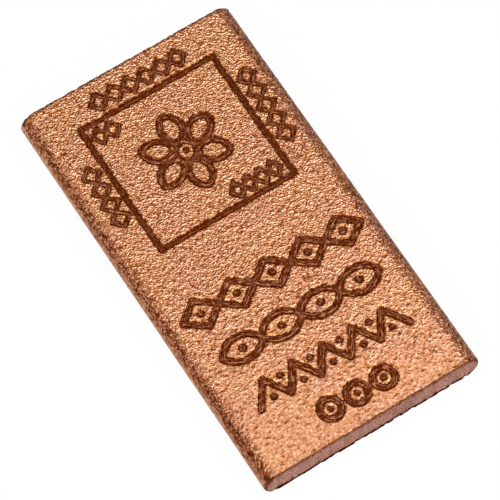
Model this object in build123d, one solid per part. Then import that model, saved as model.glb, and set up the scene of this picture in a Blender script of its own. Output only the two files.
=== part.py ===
# A flat copper ingot: a length cut from round-edged bar, with a square frame engraved in its top face.
# Millimetres. The origin is the middle of the underside, +Y runs along the bar and +Z is up.
import os

from build123d import *

# Bar stock
bar_width = 39.0
bar_thickness = 5.75
bar_length = 73.0
end_edge_radius = 0.4  # the break that tumbling leaves round each cut end

# Engraved frame, measured between the middles of its strokes
frame_side = 24.5
frame_end_distance = 6.9  # from the far end of the bar to the middle of the nearest stroke

# One engraved stroke: two grooves side by side, with a low ridge left between them
stroke_width = 1.05
groove_depth = 0.2
groove_wall_run = 0.12  # how far each sloping wall leans in, from its top to the groove's floor
ridge_width = 0.15  # across the ridge's crown
ridge_drop = 0.06  # from the face of the bar down to the ridge's crown
cutter_overrun = 0.5  # how far the cutter stands clear of the face


# Both long edges of the section are full half rounds
def bar_stock():
    section = Plane.XZ * Pos(0, bar_thickness / 2) * SlotOverall(bar_width, bar_thickness)
    bar = extrude(section, amount=bar_length / 2, both=True)
    ends = bar.faces().sort_by(Axis.Y)
    return fillet(ends[0].edges() + ends[-1].edges(), end_edge_radius)


# The cutter's section, x across the stroke and y up out of the bar's face
def cutter_section():
    ridge_edge = ridge_width / 2
    stroke_edge = stroke_width / 2
    half = [
        (ridge_edge, -ridge_drop),
        (ridge_edge + groove_wall_run, -groove_depth),
        (stroke_edge - groove_wall_run, -groove_depth),
        (stroke_edge, 0),
        (stroke_edge, cutter_overrun),
    ]
    other_half = [(-x, y) for x, y in reversed(half)]
    return make_face(Polyline(*half, *other_half, close=True))


# The cutter runs once round the square, from the middle of its near side, with mitred corners
def frame_cut():
    reach = frame_side / 2
    far_stroke = bar_length / 2 - frame_end_distance
    centre = Pos(0, far_stroke - reach, bar_thickness)
    corners = [(reach, -reach), (reach, reach), (-reach, reach), (-reach, -reach)]
    path = centre * Polyline((0, -reach), *corners, close=True)
    start = Plane(origin=path @ 0, x_dir=Axis.Y.direction, z_dir=path % 0)
    return sweep(start * cutter_section(), path=path, transition=Transition.RIGHT)


copper_bar = bar_stock() - frame_cut()

os.makedirs("parts", exist_ok=True)
export_step(copper_bar, "parts/copper_bar.step")
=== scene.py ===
import math

import bpy
import numpy as np
from mathutils import Euler, Matrix, Vector, geometry, noise


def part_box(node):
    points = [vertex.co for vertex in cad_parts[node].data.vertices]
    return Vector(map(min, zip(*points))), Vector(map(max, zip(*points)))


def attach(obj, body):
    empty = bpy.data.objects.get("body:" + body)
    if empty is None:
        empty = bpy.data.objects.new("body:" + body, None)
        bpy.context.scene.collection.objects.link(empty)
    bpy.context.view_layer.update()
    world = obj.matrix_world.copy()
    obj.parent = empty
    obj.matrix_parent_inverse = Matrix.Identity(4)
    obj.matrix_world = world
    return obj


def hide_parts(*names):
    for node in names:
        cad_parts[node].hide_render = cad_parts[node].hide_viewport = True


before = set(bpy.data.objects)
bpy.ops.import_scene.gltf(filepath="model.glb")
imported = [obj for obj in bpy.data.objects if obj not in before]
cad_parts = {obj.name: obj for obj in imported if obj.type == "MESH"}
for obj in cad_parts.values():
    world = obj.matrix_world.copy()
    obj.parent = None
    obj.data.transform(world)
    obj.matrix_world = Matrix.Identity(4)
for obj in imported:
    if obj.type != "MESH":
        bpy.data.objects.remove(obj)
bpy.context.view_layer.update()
mm = 0.001  # the object's lengths below are in millimetres
print("frame loaded, nodes", sorted(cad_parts))

barLow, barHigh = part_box("copper_bar")
barWidth, barLength, barThick = [(h - l) / mm for l, h in zip(barLow, barHigh)]
edgeRadius = barThick / 2  # both long edges are half rounds
flatHalf = barWidth / 2 - edgeRadius

# camera, from the bar's edges in the photograph
lookout = {
    "azimuth": -29.2645,
    "elevation": 65.4509,
    "roll": -3.1663,
    "distance": 604.4,
    "lens": 278.6,
    "sensor": 36.0,
    "slideRight": 0.612,  # the camera stands this far off the bar's middle, square to its own view
    "slideUp": -1.039,
    "clip": (0.01, 20.0),  # metres
}


def makeCamera():
    az, el, roll = [math.radians(lookout[k]) for k in ("azimuth", "elevation", "roll")]
    back = Vector((math.sin(az) * math.cos(el), -math.cos(az) * math.cos(el), math.sin(el)))
    level = Vector((math.cos(az), math.sin(az), 0))
    rise = back.cross(level)
    right = level * math.cos(roll) + rise * math.sin(roll)
    up = rise * math.cos(roll) - level * math.sin(roll)
    middle = Vector((0, 0, barThick / 2))
    spot = middle + back * lookout["distance"] + right * lookout["slideRight"] + up * lookout["slideUp"]
    camera = bpy.data.objects.new("camera", bpy.data.cameras.new("camera"))
    bpy.context.scene.collection.objects.link(camera)
    camera.data.lens = lookout["lens"]
    camera.data.sensor_width = lookout["sensor"]
    camera.data.clip_start, camera.data.clip_end = lookout["clip"]
    axes = Matrix((right, up, back)).transposed().to_4x4()
    camera.matrix_world = Matrix.Translation(spot * mm) @ axes
    bpy.context.scene.camera = camera
    print("camera set")


# engraved strokes: lines, arcs and dots on the top face, x across the bar and y along it
engraving = {
    "stroke": 1.05,
    "boldStroke": 1.25,
    "smallStroke": 0.88,
    "depth": 0.2,
    "ridgeDrop": 0.06,  # the ridge between a stroke's two grooves stops this far below the face
    "floorInner": 0.37,  # the groove's flat floor, as shares of half the stroke
    "floorOuter": 0.77,
    "frameSide": 24.5,
    "frameFromEnd": 6.9,
    "frameStreaks": 0.3,  # how far the light streaks show in the frame, where other strokes have 1
    "rowStep": 0.2,  # spacing of the mesh points along a stroke
    "rowShake": 0.35,  # how far a point strays from its place, as a share of the spacing
    "fewest": 6,  # points round the smallest circle
    "coverSlack": 0.02,  # points stay where no other stroke covers them by more than this share
    "closest": 0.07,  # points nearer together than about this become one
}
frameMiddle = (0.0, barLength / 2 - engraving["frameFromEnd"] - engraving["frameSide"] / 2)


def lineStroke(a, b, width):
    return {"kind": "line", "a": np.array(a), "b": np.array(b), "half": width / 2}


def arcStroke(middle, radius, start, end, width):
    return {
        "kind": "arc", "middle": np.array(middle), "radius": radius, "half": width / 2,
        "turn": (start + end) / 2, "reach": (end - start) / 2,
    }


def dotStroke(middle, radius):
    return {"kind": "dot", "middle": np.array(middle), "half": radius}


def squareStroke(middle, side, width):
    return {
        "kind": "square", "middle": np.array(middle), "side": side, "half": width / 2,
        "streaks": engraving["frameStreaks"],
    }


def loopOf(corners, width):
    return [lineStroke(a, b, width) for a, b in zip(corners, corners[1:] + corners[:1])]


def lozengeBand(middle, length, height, count, width, dot=0.0, upright=False):
    made = []
    pitch = length / count
    for i in range(count):
        along = (i - (count - 1) / 2) * pitch
        mx, my = (middle[0], middle[1] + along) if upright else (middle[0] + along, middle[1])
        rx, ry = (height / 2, pitch / 2) if upright else (pitch / 2, height / 2)
        made += loopOf([(mx + rx, my), (mx, my + ry), (mx - rx, my), (mx, my - ry)], width)
        if dot:
            made.append(dotStroke((mx, my), dot))
    return made


def waveBand(middle, length, height, count, width, dot):
    made = []
    half = length / count / 2  # one bow of the wave
    bulge = height / 2
    radius = (half * half / 4 + bulge * bulge) / (2 * bulge)
    opening = math.asin(half / 2 / radius)
    for i in range(2 * count):
        x = middle[0] - length / 2 + (i + 0.5) * half
        for side in (1, -1):
            base = math.pi / 2 * side
            arcMiddle = (x, middle[1] + side * (bulge - radius))
            made.append(arcStroke(arcMiddle, radius, base - opening, base + opening, width))
        made.append(dotStroke((x, middle[1]), dot))
    return made


def zigzagBand(middle, length, height, count, width, dot, dotShare):
    made = []
    half = length / count / 2
    xs = [middle[0] - length / 2 + i * half for i in range(2 * count + 1)]
    ys = [middle[1] + (height / 2 if i % 2 else -height / 2) for i in range(2 * count + 1)]
    points = list(zip(xs, ys))
    made += [lineStroke(a, b, width) for a, b in zip(points, points[1:])]
    for i in range(1, 2 * count):
        side = -1 if i % 2 else 1  # a dot sits in the mouth of each angle
        made.append(dotStroke((xs[i], middle[1] + side * height * dotShare), dot))
    return made


def ringBand(middle, length, count, radius, width, dot):
    made = []
    for i in range(count):
        x = middle[0] + (i - (count - 1) / 2) * length / count
        made.append(arcStroke((x, middle[1]), radius, -math.pi, math.pi, width))
        made.append(dotStroke((x, middle[1]), dot))
    return made


def rosette(middle, count, inner, outer, halfWidth, width, hub, hubDot):
    made = []
    span = (outer - inner) / 2
    radius = (span * span + halfWidth * halfWidth) / (2 * halfWidth)
    opening = math.asin(span / radius)
    for i in range(count):
        aim = math.pi / 2 + i * 2 * math.pi / count
        cx = middle[0] + (inner + span) * math.cos(aim)
        cy = middle[1] + (inner + span) * math.sin(aim)
        for side in (1, -1):
            out = aim + side * math.pi / 2
            back = radius - halfWidth
            arcMiddle = (cx - back * math.cos(out), cy - back * math.sin(out))
            made.append(arcStroke(arcMiddle, radius, out - opening, out + opening, width))
    made.append(arcStroke(middle, hub, -math.pi, math.pi, width))
    made.append(dotStroke(middle, hubDot))
    return made


# the ornament: a rosette in the frame, small bands round it, and four rows below
ornament = {
    "rosetteRise": 0.3,  # how far the rosette lies above the frame's middle
    "rosette": {
        "count": 6, "inner": 1.75, "outer": 7.0, "halfWidth": 1.75,
        "hub": 1.75, "hubDot": 0.55,
    },
    "smallBands": [
        {"middle": (0.1, 32.4), "length": 17.4, "height": 3.0, "count": 6},
        {"middle": (-8.9, 27.2), "length": 4.6, "height": 2.9, "count": 2},
        {"middle": (6.6, 7.5), "length": 9.0, "height": 2.9, "count": 4},
        {"middle": (-14.8, 17.5), "length": 11.6, "height": 2.9, "count": 4, "upright": True},
        {"middle": (15.0, 17.7), "length": 14.8, "height": 2.9, "count": 5, "upright": True},
    ],
    "lozenges": {"middle": (0.2, -7.4), "length": 32.5, "height": 5.0, "count": 5, "dot": 0.7},
    "waves": {"middle": (0.2, -15.7), "length": 28.4, "height": 4.2, "count": 2, "dot": 0.7},
    "zigzag": {
        "middle": (0.1, -23.9), "length": 27.0, "height": 4.2, "count": 5, "dot": 0.62,
        "dotShare": 0.3,  # how far the dots lie off the middle line, as a share of the height
    },
    "rings": {"middle": (0.3, -31.5), "length": 14.4, "count": 3, "radius": 1.7, "dot": 0.55},
}


def allStrokes():
    wide, bold, small = [engraving[name] for name in ("stroke", "boldStroke", "smallStroke")]
    fx, fy = frameMiddle
    made = [squareStroke(frameMiddle, engraving["frameSide"], wide)]
    made += rosette((fx, fy + ornament["rosetteRise"]), width=bold, **ornament["rosette"])
    for band in ornament["smallBands"]:
        made += lozengeBand(width=small, **band)
    made += lozengeBand(width=bold, **ornament["lozenges"])
    made += waveBand(width=bold, **ornament["waves"])
    made += zigzagBand(width=bold, **ornament["zigzag"])
    made += ringBand(width=bold, **ornament["rings"])
    return made


# distance from a stroke's middle line, which side of it, and how far along
def strokePlace(stroke, points):
    if stroke["kind"] == "line":
        arm, run = points - stroke["a"], stroke["b"] - stroke["a"]
        length = np.linalg.norm(run)
        along = np.clip(arm @ run / length, 0, length)
        away = np.linalg.norm(arm - along[:, None] * run / length, axis=1)
        side = np.sign(arm[:, 1] * run[0] - arm[:, 0] * run[1])
        return away, side, along
    arm = points - stroke["middle"]
    reach = np.linalg.norm(arm, axis=1)
    angle = np.arctan2(arm[:, 1], arm[:, 0])
    if stroke["kind"] == "square":
        away = np.abs(arm).max(1) - stroke["side"] / 2
        along = np.abs(arm).min(1) + stroke["side"] * np.round(angle / math.pi * 2)
        return np.abs(away), np.sign(away), along
    if stroke["kind"] == "arc":
        angle = (angle - stroke["turn"] + math.pi) % (2 * math.pi) - math.pi
        near = np.clip(angle, -stroke["reach"], stroke["reach"]) + stroke["turn"]
        foot = stroke["radius"] * np.stack([np.cos(near), np.sin(near)], 1)
        away = np.linalg.norm(arm - foot, axis=1)
        return away, np.sign(reach - stroke["radius"]), near * stroke["radius"]
    return reach, np.ones_like(reach), angle


# what the nearest stroke's edge, middle line and length say of each point
def engravedField(strokes, points):
    field = {"gap": np.full(len(points), np.inf)}
    field.update({name: np.zeros(len(points)) for name in ("across", "along", "streaks")})
    for number, stroke in enumerate(strokes):
        away, side, along = strokePlace(stroke, points)
        nearer = away - stroke["half"] < field["gap"]
        field["gap"][nearer] = away[nearer] - stroke["half"]
        field["across"][nearer] = (side * away)[nearer] / stroke["half"]
        field["along"][nearer] = along[nearer] + number * engraving["frameSide"]
        field["streaks"][nearer] = stroke.get("streaks", 1.0)
    return field


def shakenWalk(length, step, rng):  # shares of a length, about a step apart, unevenly
    count = max(2, math.ceil(length / step))
    shake = engraving["rowShake"]
    walk = np.arange(1, count) + rng.uniform(-shake, shake, count - 1)
    return np.concatenate([[0], walk / count, [1]])


def circleRow(middle, radius, step, rng):
    length = max(2 * math.pi * radius, engraving["fewest"] * step)
    turn = 2 * math.pi * shakenWalk(length, step, rng)[:-1]
    return middle + radius * np.stack([np.cos(turn), np.sin(turn)], 1)


def strokeRows(stroke, share, step, rng):  # mesh points along a stroke, at one share of its half width
    off = share * stroke["half"]
    sides = (1, -1) if share else (1,)
    if stroke["kind"] == "dot":
        return circleRow(stroke["middle"], off, step, rng) if share else stroke["middle"][None]
    rows, ends = [], []
    for side in sides:
        if stroke["kind"] == "line":
            run = stroke["b"] - stroke["a"]
            length = np.linalg.norm(run)
            across = np.array([-run[1], run[0]]) / length
            walk = shakenWalk(length, step, rng)[:, None]
            rows.append(stroke["a"] + walk * run + side * off * across)
            ends = [stroke["a"], stroke["b"]]
        elif stroke["kind"] == "arc":
            walk = shakenWalk(2 * stroke["reach"] * stroke["radius"], step, rng)
            turn = stroke["turn"] + (2 * walk - 1) * stroke["reach"]
            ray = np.stack([np.cos(turn), np.sin(turn)], 1)
            rows.append(stroke["middle"] + (stroke["radius"] + side * off) * ray)
            ends = stroke["middle"] + stroke["radius"] * ray[[0, -1]]
        else:
            reach = stroke["side"] / 2 + side * off
            for turn in range(4):
                walk = (2 * shakenWalk(2 * reach, step, rng) - 1) * reach
                far = np.full_like(walk, reach)
                x, y = ((walk, far), (walk, -far), (far, walk), (-far, walk))[turn]
                rows.append(stroke["middle"] + np.stack([x, y], 1))
    rows += [circleRow(end, off, step, rng) for end in ends if share]
    return np.concatenate(rows)


def grooveDepth(share):  # the cut's depth, from the ridge in its middle to its edge
    stops = [0, engraving["floorInner"], engraving["floorOuter"], 1]
    depths = [engraving["ridgeDrop"], engraving["depth"], engraving["depth"], 0]
    return np.interp(share, stops, depths, right=0)


# the ingot's skin, laid out flat as a rectangle, meshed there and rolled up again
skin = {
    "endBreak": 0.4,  # worn radius round each cut end
    "burrBreak": 0.12,  # the same along the underside, where the shears left a burr
    "breakTurn": (1 / 3, 0.9),  # shares of the half round between which the one gives way to the other
    "fineStep": 0.198,  # spacing of the mesh points on top
    "shoulderStep": 0.2,  # over the shoulders of the long edges
    "roundStep": 0.34,  # further down the half rounds
    "lowStep": 0.85,  # underneath
    "rimStep": 0.26,  # round the rims of the cut ends
    "endStep": 0.4,  # on the cut ends
    "shoulderEnd": 0.3,  # how far down the half round the shoulders' spacing goes, as a share of it
    "roundEnd": 0.62,
    "jitter": 0.24,  # how far a point strays, as a share of its spacing
    "strokeClear": 0.55,  # shares of the spacing that stay clear beside the strokes and the ends' rims
    "rimClear": 0.45,
    "seed": 11,
    "weld": 1e-6,
    "sliver": 1e-7,  # triangles with less area than about this are left out
    "grainSize": 0.31,
    "grainDepth": 0.085,
    "grainRise": 0.35,  # share of the grain's depth that it lies below the bar's true face
    "grainTurn": (0.5, 0.8, 0.35),  # the grain runs askew to the bar, in radians
    "pebbles": 0.62,  # pebbles in one grain size
    "pebbleTop": 0.4,  # height of a pebble's crown, and how fast it falls away
    "pebbleFall": 1.2,
    "rough": 0.6,  # height of the finer roughness over the pebbles
    "swell": 0.25,  # height of the slower swells, and how many to one grain size
    "swellPace": 0.45,
    "swellShift": (31.7, 8.3, 54.1),
    "calmAt": (-0.5, -0.27, 0.5),  # places along the bar, as shares of its length
    "calm": (0.6, 0.88, 1.2),  # strength of the grain there
    "calmLean": 0.4,  # the near left corner is worn smoothest
    "burntCalm": 0.45,  # share of the grain that is left in the burnt grooves
    "shoulderAt": (0.0, 0.08, 0.25, 0.4),  # how the grain grows over the shoulders of the long edges
    "shoulder": {"left": (1.0, 1.3, 1.5, 0.8), "right": (1.0, 1.4, 1.5, 0.8)},
    "waviness": 0.05,
    "waveSize": 7.0,
    "waveRise": 0.3,
    "waveShift": (3.1, 9.7, 4.2),
    "rimBite": 0.26,  # how deep the cut ends' edges are nicked
    "rimReach": 0.9,
    "nickSize": 0.8,
    "nickGain": 1.4,  # how sharply nicked and whole stretches part
    "nickBias": 0.1,  # more of this nicks more of the edge
    "nickShift": (5.3, 1.1, 8.8),
    "chatterSize": 0.9,  # fine waves on the cut ends, drawn out upwards
    "chatterDrawn": (1.0, 1.0, 0.22),
    "chatterDepth": 0.02,
    "chatterRise": 0.9,
    "chatterTone": 0.5,  # how far they show in the colour
    "chatterShift": (7.7, 1.9, 2.3),
    "paintedEdgeShade": {  # how the long edges darken, a painted shade for their dark reflections: places, as shares of the half round, and levels there
        "left": (
            (0, 0.06, 0.15, 0.2, 0.25, 0.31, 0.37, 0.5),
            (0.15, 0.32, 0.57, 0.7, 0.93, 0.95, 0.68, 0.55),
        ),
        "right": (
            (0, 0.06, 0.12, 0.19, 0.25, 0.29, 0.33),
            (0.05, 0.3, 0.48, 0.57, 0.74, 1.0, 1.45),
        ),
    },
    "uvGap": 2.0,  # between the skin and the two ends in the flat layout
    "uvMargin": 0.5,
}
halfGirth = 2 * flatHalf + math.pi * edgeRadius  # half way round the section
halfRun = barLength / 2 - skin["endBreak"] + skin["endBreak"] * math.pi / 2  # from the middle to a rim


def rollUp(s, v):  # s runs round the section from the top's middle, v along the bar
    side, along = np.sign(s), np.abs(s)
    turn = np.clip((along - flatHalf) / edgeRadius, 0, math.pi)
    under = np.clip(along - flatHalf - math.pi * edgeRadius, 0, None)
    x = side * (np.minimum(along, flatHalf) + edgeRadius * np.sin(turn) - under)
    z = edgeRadius + edgeRadius * np.cos(turn)
    breaks = [part * math.pi for part in skin["breakTurn"]]
    worn = np.interp(turn, breaks, [skin["endBreak"], skin["burrBreak"]])
    reach, end = barLength / 2 - skin["endBreak"], np.abs(v)
    tip = np.clip((end - reach) / skin["endBreak"], 0, math.pi / 2)
    straight = np.minimum(end / reach, 1) * (barLength / 2 - worn)
    y = np.sign(v) * (straight + worn * np.sin(tip))
    inset = worn * (1 - np.cos(tip))
    outX, outZ = side * np.sin(turn), np.cos(turn)
    spot = np.stack([x - inset * outX, y, z - inset * outZ], 1)
    out = np.stack([outX * np.cos(tip), np.sign(v) * np.sin(tip), outZ * np.cos(tip)], 1)
    return spot, out


def hexPoints(low, high, step, rng):  # an even scatter, a little shaken, inside a rectangle
    rows = max(1, round((high[1] - low[1]) / (step * math.sqrt(0.75))))
    cols = max(1, round((high[0] - low[0]) / step))
    i, j = np.meshgrid(np.arange(cols), np.arange(rows), indexing="ij")
    x = low[0] + (i + 0.25 + 0.5 * (j % 2)) * (high[0] - low[0]) / cols
    y = low[1] + (j + 0.5) * (high[1] - low[1]) / rows
    points = np.stack([x.ravel(), y.ravel()], 1)
    return points + rng.uniform(-1, 1, points.shape) * skin["jitter"] * step


def thinOut(points, near):  # drops points that fall in a cell already taken
    cells = np.round(points / near).astype(int)
    first = np.unique(cells, axis=0, return_index=True)[1]
    return points[np.sort(first)]


def triangulate(points):
    found = geometry.delaunay_2d_cdt([Vector(p) for p in points.tolist()], [], [], 0, skin["weld"])
    source = [ids[0] for ids in found[3]]
    faces = np.array([[source[i] for i in f] for f in found[2]])
    a, b, c = (points[faces[:, k]] for k in range(3))
    area = (b - a)[:, 0] * (c - a)[:, 1] - (b - a)[:, 1] * (c - a)[:, 0]
    return faces[np.abs(area) > skin["sliver"]]


def grainAt(spots):  # height at each point, about -1 to 1: round pebbles, roughened, over slower swells
    shift = Vector(skin["swellShift"])
    askew = Euler(skin["grainTurn"]).to_matrix() * (1 / skin["grainSize"])
    height = np.empty(len(spots))
    for i, p in enumerate(spots.tolist()):
        q = askew @ Vector(p)
        away = noise.voronoi(q * skin["pebbles"])[0][0]
        pebble = skin["pebbleTop"] - skin["pebbleFall"] * away ** 2
        swell = skin["swell"] * noise.noise(q * skin["swellPace"] + shift)
        height[i] = pebble + skin["rough"] * noise.noise(q) + swell
    return height


def waveAt(spots, size, shift):
    start = Vector(shift)
    return np.array([noise.noise(Vector(p) / size + start) for p in spots.tolist()])


# fine on top, coarser round the long edges and underneath, with the strokes left clear
def scatterPoints(strokes, rng):
    fine, low = skin["fineStep"], skin["lowStep"]
    shares = (0, skin["shoulderEnd"], skin["roundEnd"])
    topEdge, shoulderEdge, roundEdge = (flatHalf + share * math.pi * edgeRadius for share in shares)
    strips = [
        (topEdge, shoulderEdge, skin["shoulderStep"]),
        (shoulderEdge, roundEdge, skin["roundStep"]),
        (roundEdge, halfGirth - low / 2, low),
    ]
    inner = halfRun - fine / 2
    scatter = [hexPoints((-topEdge, -inner), (topEdge, inner), fine, rng)]
    for side in (-1, 1):
        for a, b, step in strips:
            start, stop = sorted((side * a, side * b))
            end = inner - step / 4
            scatter.append(hexPoints((start, -end), (stop, end), step, rng))
    scatter = np.concatenate(scatter)
    return scatter[engravedField(strokes, scatter)["gap"] > skin["strokeClear"] * fine]


# rows of points along the strokes, only where no other stroke covers them
def strokePoints(strokes, rng):
    rows = []
    for share in (0, engraving["floorInner"], engraving["floorOuter"], 1):
        for stroke in strokes:
            found = strokeRows(stroke, share, engraving["rowStep"], rng)
            across = np.abs(engravedField(strokes, found)["across"])
            rows.append(found[across > share - engraving["coverSlack"]])
    return thinOut(np.concatenate(rows), engraving["closest"])


# the rectangle's rim: both ends, and the seam along the middle of the underside
def rimPoints():
    ticks = np.linspace(0, halfGirth, round(halfGirth / skin["rimStep"]), endpoint=False)
    ring = np.concatenate([[-halfGirth], -ticks[:0:-1], ticks, [halfGirth]])
    seam = np.linspace(-halfRun, halfRun, round(2 * halfRun / skin["lowStep"]))[1:-1]
    ends = [np.stack([ring, np.full_like(ring, side * halfRun)], 1) for side in (-1, 1)]
    seams = [np.stack([np.full_like(seam, side * halfGirth), seam], 1) for side in (-1, 1)]
    return np.concatenate(ends + seams), len(ring), len(seam)


# the seam's two sides are one line of points
def closeSeam(count, ringCount, seamCount):
    swap = np.arange(count)
    first, second = 2 * ringCount, 2 * ringCount + seamCount
    swap[second:second + seamCount] = np.arange(first, second)
    swap[ringCount - 1] = 0
    swap[2 * ringCount - 1] = ringCount
    return swap


# relief: pebbled grain, a slow waviness, the strokes and the nicked rims, with marks for the finishes
def carve(flat, field):
    share = np.abs(field["across"])
    onLeft = flat[:, 0] < 0
    turn = np.clip((np.abs(flat[:, 0]) - flatHalf) / (math.pi * edgeRadius), 0, 1)  # of the half round
    spots, out = rollUp(flat[:, 0], flat[:, 1])
    grain = grainAt(spots)
    place = (spots[:, 1] + skin["calmLean"] * spots[:, 0]) / barLength
    calm = np.interp(place, skin["calmAt"], skin["calm"])
    growth = [np.interp(turn, skin["shoulderAt"], skin["shoulder"][name]) for name in ("left", "right")]
    calm = np.minimum(calm * np.where(onLeft, *growth), skin["calm"][-1])
    calm *= np.clip(share, skin["burntCalm"], 1)
    wave = waveAt(spots, skin["waveSize"], skin["waveShift"])
    rimGap = halfRun - np.abs(flat[:, 1])
    nick = waveAt(spots, skin["nickSize"], skin["nickShift"]) * skin["nickGain"] + skin["nickBias"]
    sink = skin["grainDepth"] * (skin["grainRise"] - grain) * calm
    sink += skin["waviness"] * (skin["waveRise"] - wave / 2)
    sink += grooveDepth(share)
    sink += skin["rimBite"] * np.clip(nick, 0, 1) * np.clip(1 - rimGap / skin["rimReach"], 0, 1)
    # painted shade on the long edges, for their dark reflections, deeper on the right
    levels = [np.interp(turn, *skin["paintedEdgeShade"][name]) for name in ("left", "right")]
    marks = {"grain": grain, "calm": calm, "paintedEdgeShade": np.where(onLeft, *levels), "rim": rimGap}
    marks.update({"stroke" + name.capitalize(): values for name, values in field.items()})
    return spots - out * sink[:, None], marks


# a cut end, filled from its rim, with the shears' chatter on it
def cutEnd(side, rimSpots, rng):
    fill = hexPoints((-barWidth / 2, 0), (barWidth / 2, barThick), skin["endStep"], rng)
    reach = edgeRadius - skin["endBreak"]
    away = np.hypot(np.maximum(np.abs(fill[:, 0]) - flatHalf, 0), fill[:, 1] - edgeRadius)
    clear = away < reach - skin["rimClear"] * skin["endStep"]
    fill, away = fill[clear], away[clear]
    spots = np.stack([fill[:, 0], np.full(len(fill), side * barLength / 2), fill[:, 1]], 1)
    chatter = waveAt(spots * skin["chatterDrawn"], skin["chatterSize"], skin["chatterShift"])
    spots[:, 1] -= side * skin["chatterDepth"] * (skin["chatterRise"] - chatter)
    flat = np.concatenate([rimSpots[:, [0, 2]], fill])
    return flat, spots, {"grain": skin["chatterTone"] * chatter, "rim": reach - away}


# every triangle faces outwards, away from the bar's middle line
def turnOutwards(spots, corners, uv):
    a, b, c = (spots[corners[:, k]] for k in range(3))
    middle, lift = (a + b + c) / 3, [0, 0, edgeRadius]
    inside = np.array([flatHalf, barLength / 2 - edgeRadius, 0])
    core = np.clip(middle - lift, -inside, inside) + lift
    wrong = (np.cross(b - a, c - a) * (middle - core)).sum(1) < 0
    corners[wrong] = corners[wrong][:, ::-1]
    uv[wrong] = uv[wrong][:, ::-1]


def buildMesh(spots, corners, uv, finish, marks):
    mesh = bpy.data.meshes.new("copper_ingot")
    mesh.vertices.add(len(spots))
    mesh.vertices.foreach_set("co", (spots * mm).astype(np.float32).ravel())
    mesh.loops.add(corners.size)
    mesh.loops.foreach_set("vertex_index", corners.astype(np.int32).ravel())
    mesh.polygons.add(len(corners))
    mesh.polygons.foreach_set("loop_start", np.arange(0, corners.size, 3, dtype=np.int32))
    mesh.polygons.foreach_set("material_index", finish.astype(np.int32))
    mesh.update(calc_edges=True)
    mesh.shade_smooth()
    for name, values in marks.items():
        made = mesh.attributes.new(name, "FLOAT", "POINT")
        made.data.foreach_set("value", values.astype(np.float32))
    layer = mesh.uv_layers.new(name="OFBake")
    margin = skin["uvMargin"]
    sheet = max(2 * halfGirth, 2 * halfRun + barThick + 2 * skin["uvGap"]) + 2 * margin
    layer.data.foreach_set("uv", ((uv.reshape(-1, 2) + margin) / sheet).astype(np.float32).ravel())
    mesh.validate()
    return mesh


def makeIngot():
    rng = np.random.default_rng(skin["seed"])
    strokes = allStrokes()
    scatter = scatterPoints(strokes, rng)
    rows = strokePoints(strokes, rng)
    rim, ringCount, seamCount = rimPoints()
    flat = np.concatenate([rim, rows, scatter])
    faces = triangulate(flat)
    print("skin points", len(flat), "triangles", len(faces))

    spots, marks = carve(flat, engravedField(strokes, flat))
    allSpots, allCorners = [spots], [closeSeam(len(flat), ringCount, seamCount)[faces]]
    allUv, finish = [flat[faces] + [halfGirth, halfRun]], [np.zeros(len(faces), int)]
    marks = {name: [values] for name, values in marks.items()}
    total, gap = len(spots), skin["uvGap"]
    for number, side in enumerate((-1, 1)):
        ring = number * ringCount + np.arange(ringCount - 1)
        endFlat, endSpots, endMarks = cutEnd(side, spots[ring], rng)
        endFaces = triangulate(endFlat)
        lay = [gap + number * (barWidth + 2 * gap) + barWidth / 2, 2 * halfRun + gap]
        index = np.concatenate([ring, total + np.arange(len(endSpots))])
        allSpots.append(endSpots)
        allCorners.append(index[endFaces])
        allUv.append(endFlat[endFaces] + lay)
        finish.append(np.ones(len(endFaces), int))
        for name in marks:
            marks[name].append(endMarks.get(name, np.zeros(len(endSpots))))
        total += len(endSpots)

    spots, corners, uv = np.concatenate(allSpots), np.concatenate(allCorners), np.concatenate(allUv)
    turnOutwards(spots, corners, uv)
    marks = {name: np.concatenate(values) for name, values in marks.items()}
    mesh = buildMesh(spots, corners, uv, np.concatenate(finish), marks)
    ingot = bpy.data.objects.new("copper_ingot", mesh)
    bpy.context.scene.collection.objects.link(ingot)
    print("ingot mesh", len(mesh.vertices), "points", len(mesh.polygons), "triangles")
    return ingot


# shader helpers
def addNode(tree, kind, **settings):
    node = tree.nodes.new(kind)
    for name, value in settings.items():
        setattr(node, name, value)
    return node


def feed(tree, socket, value):  # links an output, or sets a plain value
    if isinstance(value, bpy.types.NodeSocket):
        tree.links.new(value, socket)
    else:
        socket.default_value = value


def maths(tree, operation, a, b=0.5):
    node = addNode(tree, "ShaderNodeMath", operation=operation)
    feed(tree, node.inputs[0], a)
    feed(tree, node.inputs[1], b)
    return node.outputs[0]


def spread(tree, value, fromLow, fromHigh, toLow=0.0, toHigh=1.0, smooth=True):
    node = addNode(tree, "ShaderNodeMapRange", interpolation_type="SMOOTHSTEP" if smooth else "LINEAR")
    for socket, number in zip(node.inputs[:5], (value, fromLow, fromHigh, toLow, toHigh)):
        feed(tree, socket, number)
    return node.outputs[0]


def blend(tree, factor, a, b, kind="MIX"):
    node = addNode(tree, "ShaderNodeMix", data_type="RGBA", blend_type=kind)
    feed(tree, node.inputs["Factor"], factor)
    feed(tree, node.inputs[6], a)
    feed(tree, node.inputs[7], b)
    return node.outputs[2]


def mixValue(tree, factor, a, b):
    node = addNode(tree, "ShaderNodeMix", data_type="FLOAT")
    feed(tree, node.inputs[0], factor)
    feed(tree, node.inputs[2], a)
    feed(tree, node.inputs[3], b)
    return node.outputs[0]


def attribute(tree, name):
    return addNode(tree, "ShaderNodeAttribute", attribute_name=name).outputs["Fac"]


def noiseAt(tree, place, scale, detail):
    tone = addNode(tree, "ShaderNodeTexNoise")
    for name, value in (("Vector", place), ("Scale", scale), ("Detail", detail)):
        feed(tree, tone.inputs[name], value)
    return tone.outputs["Fac"]


def newMaterial(name):
    material = bpy.data.materials.new(name)
    material.use_nodes = True
    tree = material.node_tree
    return material, tree, tree.nodes["Principled BSDF"]


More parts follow.
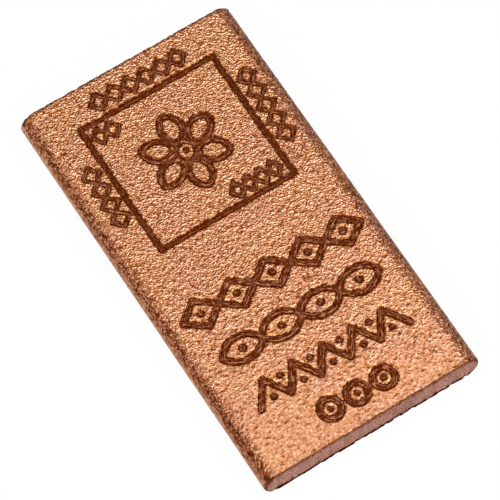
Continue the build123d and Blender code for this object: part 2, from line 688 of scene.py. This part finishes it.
def rgb(r, g, b):  # screen colour, 0 to 255, to the shader's own scale
    def lin(c):
        c /= 255
        return c / 12.92 if c <= 0.04045 else ((c + 0.055) / 1.055) ** 2.4
    return (lin(r), lin(g), lin(b), 1.0)


def roughen(tree, shader, height, finish):
    bump = addNode(tree, "ShaderNodeBump")
    feed(tree, bump.inputs["Height"], height)
    feed(tree, bump.inputs["Strength"], finish["bump"])
    feed(tree, bump.inputs["Distance"], finish["bumpDepth"] * mm)
    feed(tree, shader.inputs["Normal"], bump.outputs["Normal"])


def makeGroup(name, inputs, outputs):  # every socket is a plain value
    group = bpy.data.node_groups.new(name, "ShaderNodeTree")
    for label, value in inputs:
        socket = group.interface.new_socket(label, in_out="INPUT", socket_type="NodeSocketFloat")
        socket.default_value = value
    for label in outputs:
        group.interface.new_socket(label, in_out="OUTPUT", socket_type="NodeSocketFloat")
    return group, addNode(group, "NodeGroupInput"), addNode(group, "NodeGroupOutput")


def useGroup(tree, group, values):
    node = addNode(tree, "ShaderNodeGroup", node_tree=group)
    for name, value in values.items():
        feed(tree, node.inputs[name], value)
    return node


# copper grain, for every finish of the bar: a small height, a ragged mid-size mask and a slow cloud
grainLayers = [  # output, the input for its size, that size, and the detail in it
    ("Height", "Size", 0.3, 0.0),
    ("Fray", "Fray Size", 0.8, 3.0),
    ("Cloud", "Cloud Size", 9.0, 3.0),
]
frayRange = (0.3, 0.7)  # where most of the ragged mask lies


def makeCopperGrain():
    inputs = [(label, size) for _, label, size, _ in grainLayers]
    group, given, result = makeGroup("copperGrain", inputs, [layer[0] for layer in grainLayers])
    place = addNode(group, "ShaderNodeMapping")
    place.inputs["Rotation"].default_value = skin["grainTurn"]
    feed(group, place.inputs["Vector"], addNode(group, "ShaderNodeTexCoord").outputs["Object"])
    for output, label, _, detail in grainLayers:
        scale = maths(group, "DIVIDE", 1 / mm, given.outputs[label])
        feed(group, result.inputs[output], noiseAt(group, place.outputs["Vector"], scale, detail))
    return group


# painted shade at the cut ends: a dark rim round each, and a darker painted contact shadow along its
# underside
endShade = {
    "rim": (0.1, 0.3),  # distances from the rim, and heights above the floor, where each fades out
    "burr": (1.0, 1.35),
    "rimShake": 0.25,  # how far the fray moves them
    "contactShadeShake": 0.42,
    # painted contact shadow along the bottom of each cut end
    "contactShadeColour": rgb(64, 24, 9),
}


# masks for the painted shade at the cut ends
def makePaintedEndShade():
    fades = {"Rim": endShade["rim"], "Contact Shade": endShade["burr"]}
    inputs = [("Fray", 0.5)]
    for label, (near, far) in fades.items():
        inputs += [(label + " From", near), (label + " To", far)]
    group, given, result = makeGroup("paintedEndShade", inputs, list(fades))
    height = addNode(group, "ShaderNodeSeparateXYZ")
    feed(group, height.inputs[0], addNode(group, "ShaderNodeTexCoord").outputs["Object"])
    height = maths(group, "DIVIDE", height.outputs["Z"], mm)
    rows = [
        ("Rim", attribute(group, "rim"), endShade["rimShake"]),
        ("Contact Shade", height, endShade["contactShadeShake"]),
    ]
    for label, value, far in rows:
        shake = spread(group, given.outputs["Fray"], *frayRange, -far, far, smooth=False)
        shaken = maths(group, "ADD", value, shake)
        fade = [given.outputs[label + end] for end in (" From", " To")]
        feed(group, result.inputs[label], spread(group, shaken, *fade, 1.0, 0.0))
    return group


# pebbled copper, with burnt engraving in it
pebbled = {  # a fade is where a thing starts and ends, then its levels there if they aren't 0 and 1
    # oxide in the crevices, with painted shade there too
    "hollowOxideAndShade": rgb(158, 86, 42),
    "body": rgb(219, 154, 116),
    # paler crowns: a painted highlight
    "crown": rgb(252, 211, 181),
    "gold": rgb(244, 186, 104),
    "hollowOxideAndShadeFade": (-0.75, 0.05),  # by height of the grain
    "crownFade": (0.0, 0.75),
    "goldFade": (0.35, 0.65, 0.0, 0.14),  # by the slow cloud
    "fineSize": 0.26,
    "fineShare": 0.8,
    "bump": 1.0,
    "bumpDepth": 0.05,
    "roughFade": (-0.6, 0.6, 0.3, 0.14),  # by height of the grain
    "grazing": (0.86, 0.79, 0.75, 1.0),  # tint of what the skin mirrors at a low angle
    "rim": (0.34, 0.26, 0.23, 1.0),  # painted shade that darkens the broken edges of the cut ends
    "rimFrom": 0.3,
    "rimTo": 1.15,
    # long edges: painted shade, for their dark reflections
    "edgeShadeDark": (0.22, 0.118, 0.08, 1.0),  # painted shade, darkest in streaks and hollows
    "edgeShadeLight": (0.62, 0.455, 0.375, 1.0),
    "edgeShadeDeep": (0.62, 0.48, 0.42, 1.0),
    "edgeShadeFray": 0.15,
    "edgeShadeFade": (0.1, 0.9),
    "deepFade": (1.0, 1.5),
    "drawnWide": 0.3,  # streaks drawn along the bar
    "drawnLong": 0.8,
    "drawnDetail": 1.5,
    "drawnRelief": 0.3,  # how far the streaks settle in the grain's hollows
    "drawnFade": (0.4, 0.6),
    "drawnRough": 0.25,
    "drawnRoughFade": (0.0, 0.7),
    # burnt strokes
    "burnt": rgb(104, 40, 2),
    "burntEdge": rgb(74, 19, 0),
    "streak": rgb(210, 146, 106),
    # an amber painted shade that dims the light on each groove's lip
    "lipShade": rgb(156, 90, 46),
    "raggedFray": 0.09,  # how far a stroke's edge wanders
    "raggedFine": 0.08,
    "fleckFade": (0.1, 0.7, 0.35, 0.0),  # gold flecks and the amber painted shade on the lip, by distance from the edge
    "fleckFray": (0.0, 0.5),
    "lipShadeFade": (0.02, 0.32, 0.9, 0.0),
    "lipShadeFray": (0.6, -0.3),
    "burnFade": (-0.14, 0.12, 1.0, 0.0),
    "burntEdgeFade": (0.55, 0.9),  # by share of half the stroke
    "lightSpecks": (0.1, 0.5, 0.0, 0.22),  # by the fine grain
    "darkSpecks": (0.0, -0.45, 0.0, 0.6),
    "burntRough": 0.58,
    "laneWide": 0.32,  # light lines along a stroke: spacing, as a share of half its width, and length
    "laneLong": 1.3,
    "laneDetail": 1.0,
    "laneFade": (0.5, 0.64),
    "laneReach": (0.5, 0.8, 0.8, 0.0),  # by share of half the stroke
}


# painted shade over the long edges, for their dark reflections, in streaks along the bar that settle in
# the grain's hollows
def shadeLongEdges(tree, colour, paintedEdgeShade, height):
    place = addNode(tree, "ShaderNodeMapping")
    wide, long = pebbled["drawnWide"], pebbled["drawnLong"]
    place.inputs["Scale"].default_value = (1 / wide / mm, 1 / long / mm, 1 / wide / mm)
    feed(tree, place.inputs["Vector"], addNode(tree, "ShaderNodeTexCoord").outputs["Object"])
    drawn = noiseAt(tree, place.outputs["Vector"], 1.0, pebbled["drawnDetail"])
    drawn = maths(tree, "ADD", drawn, maths(tree, "MULTIPLY", height, pebbled["drawnRelief"]))
    streaks = spread(tree, drawn, *pebbled["drawnFade"])
    veil = blend(tree, streaks, pebbled["edgeShadeDark"], pebbled["edgeShadeLight"])
    colour = blend(tree, spread(tree, paintedEdgeShade, *pebbled["edgeShadeFade"]), colour, veil, "MULTIPLY")
    deep = spread(tree, paintedEdgeShade, *pebbled["deepFade"])
    return blend(tree, deep, colour, pebbled["edgeShadeDeep"], "MULTIPLY")


# beside a stroke: gold flecks that heat left, and an amber painted shade over the groove's lip
def fleckAndShadeStrokes(tree, colour, gap, fray):
    for name, tint in (("fleck", pebbled["gold"]), ("lipShade", pebbled["lipShade"])):
        near = spread(tree, gap, *pebbled[name + "Fade"])
        patchy = spread(tree, fray, *pebbled[name + "Fray"])
        colour = blend(tree, maths(tree, "MULTIPLY", near, patchy), colour, tint)
    return colour


# the stroke itself: a dark edge, specks, and light lines along its floor
def scorchColour(tree, wobble):
    across, along = attribute(tree, "strokeAcross"), attribute(tree, "strokeAlong")
    share = maths(tree, "ABSOLUTE", across)
    lane = addNode(tree, "ShaderNodeCombineXYZ")
    feed(tree, lane.inputs["X"], maths(tree, "DIVIDE", across, pebbled["laneWide"]))
    feed(tree, lane.inputs["Y"], maths(tree, "DIVIDE", along, pebbled["laneLong"]))
    breaks = noiseAt(tree, lane.outputs[0], 1.0, pebbled["laneDetail"])
    lines = spread(tree, breaks, *pebbled["laneFade"])
    lines = maths(tree, "MULTIPLY", lines, spread(tree, share, *pebbled["laneReach"]))
    lines = maths(tree, "MULTIPLY", lines, attribute(tree, "strokeStreaks"))
    edge = spread(tree, share, *pebbled["burntEdgeFade"])
    scorch = blend(tree, edge, pebbled["burnt"], pebbled["burntEdge"])
    scorch = blend(tree, spread(tree, wobble, *pebbled["lightSpecks"]), scorch, pebbled["streak"])
    scorch = blend(tree, lines, scorch, pebbled["streak"])
    return blend(tree, spread(tree, wobble, *pebbled["darkSpecks"]), scorch, pebbled["burntEdge"])


def makePebbledCopper(grainGroup, edgeGroup):
    material, tree, shader = newMaterial("pebbledCopper")
    fine = useGroup(tree, grainGroup, {"Size": pebbled["fineSize"]})
    wobble = spread(tree, fine.outputs["Height"], 0.0, 1.0, -1.0, 1.0, smooth=False)
    fray = spread(tree, fine.outputs["Fray"], *frayRange, -1.0, 1.0, smooth=False)
    calm = attribute(tree, "calm")
    relief = maths(tree, "MULTIPLY", wobble, maths(tree, "MULTIPLY", calm, calm))
    finest = maths(tree, "MULTIPLY", relief, pebbled["fineShare"])
    height = maths(tree, "ADD", attribute(tree, "grain"), finest)

    # copper: oxide and painted shade in the crevices, a painted highlight on the crowns, and painted
    # shade on the long edges
    raised = spread(tree, height, *pebbled["hollowOxideAndShadeFade"])
    colour = blend(tree, raised, pebbled["hollowOxideAndShade"], pebbled["body"])
    colour = blend(tree, spread(tree, height, *pebbled["crownFade"]), colour, pebbled["crown"])
    cloud = spread(tree, fine.outputs["Cloud"], *pebbled["goldFade"])
    colour = blend(tree, cloud, colour, pebbled["gold"])
    # painted shade on the long edges, made uneven by the fray
    uneven = maths(tree, "MULTIPLY", fray, pebbled["edgeShadeFray"])
    paintedEdgeShade = maths(tree, "ADD", attribute(tree, "paintedEdgeShade"), uneven)
    colour = shadeLongEdges(tree, colour, paintedEdgeShade, height)

    # painted shade on the broken edges of the cut ends, and a painted contact shadow along their
    # undersides
    limits = {"Rim From": pebbled["rimFrom"], "Rim To": pebbled["rimTo"]}
    edges = useGroup(tree, edgeGroup, {"Fray": fine.outputs["Fray"], **limits})
    colour = blend(tree, edges.outputs["Rim"], colour, pebbled["rim"], "MULTIPLY")
    # painted contact shadow, only near the rim
    burr = maths(tree, "MULTIPLY", edges.outputs["Rim"], edges.outputs["Contact Shade"])
    colour = blend(tree, burr, colour, endShade["contactShadeColour"])

    # burnt strokes, with ragged edges
    coarse = maths(tree, "MULTIPLY", fray, pebbled["raggedFray"])
    ragged = maths(tree, "ADD", coarse, maths(tree, "MULTIPLY", wobble, pebbled["raggedFine"]))
    gap = maths(tree, "ADD", attribute(tree, "strokeGap"), ragged)
    colour = fleckAndShadeStrokes(tree, colour, gap, fray)
    burn = spread(tree, gap, *pebbled["burnFade"])
    feed(tree, shader.inputs["Base Color"], blend(tree, burn, colour, scorchColour(tree, wobble)))

    rough = spread(tree, height, *pebbled["roughFade"])
    drawn = spread(tree, paintedEdgeShade, *pebbled["drawnRoughFade"])
    rough = mixValue(tree, drawn, rough, pebbled["drawnRough"])
    feed(tree, shader.inputs["Roughness"], mixValue(tree, burn, rough, pebbled["burntRough"]))
    feed(tree, shader.inputs["Metallic"], maths(tree, "SUBTRACT", 1.0, burr))
    shader.inputs["Specular IOR Level"].default_value = 0.0  # the painted contact shadow isn't bare metal, and stays matt
    feed(tree, shader.inputs["Specular Tint"], pebbled["grazing"])
    roughen(tree, shader, maths(tree, "MULTIPLY", relief, calm), pebbled)
    return material


# cut copper: the sheared ends
cut = {
    "body": rgb(206, 130, 98),
    "dull": rgb(172, 102, 74),
    "grey": rgb(184, 132, 114),
    "streak": rgb(126, 68, 46),
    "bodyFade": (0.35, 0.65),  # by the fray, the cloud, the chatter and the fine grain in turn
    "greyFade": (0.42, 0.62, 0.0, 0.7),
    "streakFade": (-0.3, 0.1, 0.6, 0.0),
    "fleckFade": (0.38, 0.54, 0.85, 0.0),
    # painted shade round the rim of each cut end
    "rim": (0.45, 0.34, 0.3, 1.0),
    "rimFrom": 0.05,
    "rimTo": 0.25,
    "fineSize": 0.26,
    "fraySize": 0.6,
    "cloudSize": 1.3,
    "roughFade": (0.3, 0.7, 0.5, 0.36),  # by the fine grain
    "bump": 1.0,
    "bumpDepth": 0.05,
}


def makeCutCopper(grainGroup, edgeGroup):
    material, tree, shader = newMaterial("cutCopper")
    sizes = {"Size": cut["fineSize"], "Fray Size": cut["fraySize"], "Cloud Size": cut["cloudSize"]}
    fine = useGroup(tree, grainGroup, sizes).outputs
    colour = blend(tree, spread(tree, fine["Fray"], *cut["bodyFade"]), cut["dull"], cut["body"])
    colour = blend(tree, spread(tree, fine["Cloud"], *cut["greyFade"]), colour, cut["grey"])
    chatter = spread(tree, attribute(tree, "grain"), *cut["streakFade"])
    colour = blend(tree, chatter, colour, cut["streak"])
    colour = blend(tree, spread(tree, fine["Height"], *cut["fleckFade"]), colour, cut["streak"])
    limits = {"Rim From": cut["rimFrom"], "Rim To": cut["rimTo"]}
    edges = useGroup(tree, edgeGroup, {"Fray": fine["Fray"], **limits}).outputs
    # painted shade round the rim, and a painted contact shadow along the bottom
    colour = blend(tree, edges["Rim"], colour, cut["rim"], "MULTIPLY")
    feed(tree, shader.inputs["Base Color"], blend(tree, edges["Contact Shade"], colour, endShade["contactShadeColour"]))
    feed(tree, shader.inputs["Roughness"], spread(tree, fine["Height"], *cut["roughFade"]))
    feed(tree, shader.inputs["Metallic"], maths(tree, "SUBTRACT", 1.0, edges["Contact Shade"]))
    shader.inputs["Specular IOR Level"].default_value = 0.0  # the painted contact shadow isn't bare metal, and stays matt
    roughen(tree, shader, fine["Height"], cut)
    return material


# white floor, a dome of dim warm light with pale cards in it, and two softboxes overhead, in metres
studio = {
    "floorSize": 8.0,
    "floorDrop": 0.00001,
    "floorColour": (0.9, 0.9, 0.9, 1.0),
    "floorRough": 0.9,
    "floorGlow": 0.95,  # share of plain white that the eye and reflections see in the floor
    "dome": [  # height of the direction, from 0 at the horizon to 1 overhead, and its light
        (0.03, (0.95, 0.95, 0.95)),
        (0.07, (0.19, 0.074, 0.02)),
        (0.42, (0.19, 0.074, 0.02)),
        (0.60, (0.19, 0.077, 0.021)),
        (0.75, (0.19, 0.088, 0.032)),
        (0.88, (0.19, 0.108, 0.058)),
    ],
    "cards": [  # where each card lies, the angles of its full and its faded edge, and its light
        {"towards": (0.3, -0.85, 0.35), "edges": (35, 62), "light": (0.8, 0.75, 0.68, 1.0)},
        {"towards": (-0.48, 0.8, 0.3), "edges": (16, 32), "light": (0.9, 0.78, 0.67, 1.0)},
        {"towards": (-0.74, -0.54, 0.4), "edges": (18, 42), "light": (0.62, 0.5, 0.4, 1.0)},
        {"towards": (0.62, 0.6, 0.47), "edges": (10, 26), "light": (0.4, 0.28, 0.19, 1.0)},
    ],
    "lampHeight": 0.62,
    "lampWide": 2.4,
    "lampAside": -0.6,
    "lamps": {  # each softbox's span along the bar, the brightness of its face and its tint
        "farSoftbox": {"span": (0.08, 0.3), "level": 1.0, "tint": (1.0, 1.0, 1.0)},
        "nearSoftbox": {"span": (-0.45, 0.06), "level": 2.02, "tint": (0.9, 0.94, 1.0)},
    },
}


def makeFloor():
    half = studio["floorSize"] / 2
    corners = [(-half, -half, 0), (half, -half, 0), (half, half, 0), (-half, half, 0)]
    mesh = bpy.data.meshes.new("floor")
    mesh.from_pydata(corners, [], [(0, 1, 2, 3)])
    floor = bpy.data.objects.new("floor", mesh)
    floor.location.z = -studio["floorDrop"]
    bpy.context.scene.collection.objects.link(floor)
    material, tree, shader = newMaterial("whiteFloor")
    shader.inputs["Base Color"].default_value = studio["floorColour"]
    shader.inputs["Roughness"].default_value = studio["floorRough"]
    shader.inputs["Specular IOR Level"].default_value = 0.0
    ray = addNode(tree, "ShaderNodeLightPath").outputs
    seen = maths(tree, "MAXIMUM", ray["Is Camera Ray"], ray["Is Glossy Ray"])
    seen = maths(tree, "MAXIMUM", seen, ray["Is Transmission Ray"])
    glow = addNode(tree, "ShaderNodeEmission")
    mixed = addNode(tree, "ShaderNodeMixShader")
    feed(tree, mixed.inputs[0], maths(tree, "MULTIPLY", seen, studio["floorGlow"]))
    feed(tree, mixed.inputs[1], shader.outputs[0])
    feed(tree, mixed.inputs[2], glow.outputs[0])
    feed(tree, tree.nodes["Material Output"].inputs["Surface"], mixed.outputs[0])
    floor.data.materials.append(material)


def makeLamps():
    for name, values in studio["lamps"].items():
        lamp = bpy.data.lights.new(name, "AREA")
        lamp.shape = "RECTANGLE"
        start, stop = values["span"]
        lamp.size, lamp.size_y = studio["lampWide"], stop - start
        lamp.energy = values["level"] * math.pi * lamp.size * lamp.size_y
        lamp.color = values["tint"]
        light = bpy.data.objects.new(name, lamp)
        light.location = (studio["lampAside"], (start + stop) / 2, studio["lampHeight"])
        bpy.context.scene.collection.objects.link(light)


def makeDome():
    world = bpy.data.worlds.new("dome")
    world.use_nodes = True
    tree = world.node_tree
    height = addNode(tree, "ShaderNodeSeparateXYZ")
    towards = addNode(tree, "ShaderNodeTexCoord").outputs["Generated"]
    feed(tree, height.inputs[0], towards)
    ramp = addNode(tree, "ShaderNodeValToRGB")
    stops = ramp.color_ramp.elements
    for stop, (level, colour) in enumerate(studio["dome"]):
        mark = stops[stop] if stop < len(stops) else stops.new(level)
        mark.position, mark.color = level, (*colour, 1.0)
    feed(tree, ramp.inputs[0], height.outputs["Z"])
    light = ramp.outputs["Color"]
    for card in studio["cards"]:
        near = addNode(tree, "ShaderNodeVectorMath", operation="DOT_PRODUCT")
        feed(tree, near.inputs[0], towards)
        feed(tree, near.inputs[1], Vector(card["towards"]).normalized())
        full, faded = (math.cos(math.radians(angle)) for angle in card["edges"])
        light = blend(tree, spread(tree, near.outputs["Value"], faded, full), light, card["light"])
    feed(tree, tree.nodes["Background"].inputs["Color"], light)
    bpy.context.scene.world = world


makeCamera()
ingot = makeIngot()
copperGrain, paintedEndShade = makeCopperGrain(), makePaintedEndShade()
ingot.data.materials.append(makePebbledCopper(copperGrain, paintedEndShade))
ingot.data.materials.append(makeCutCopper(copperGrain, paintedEndShade))
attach(ingot, "root")
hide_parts("copper_bar")
print("finishes set")
makeFloor()
makeLamps()
makeDome()
bpy.context.scene.view_settings.view_transform = "Standard"
print("studio set")
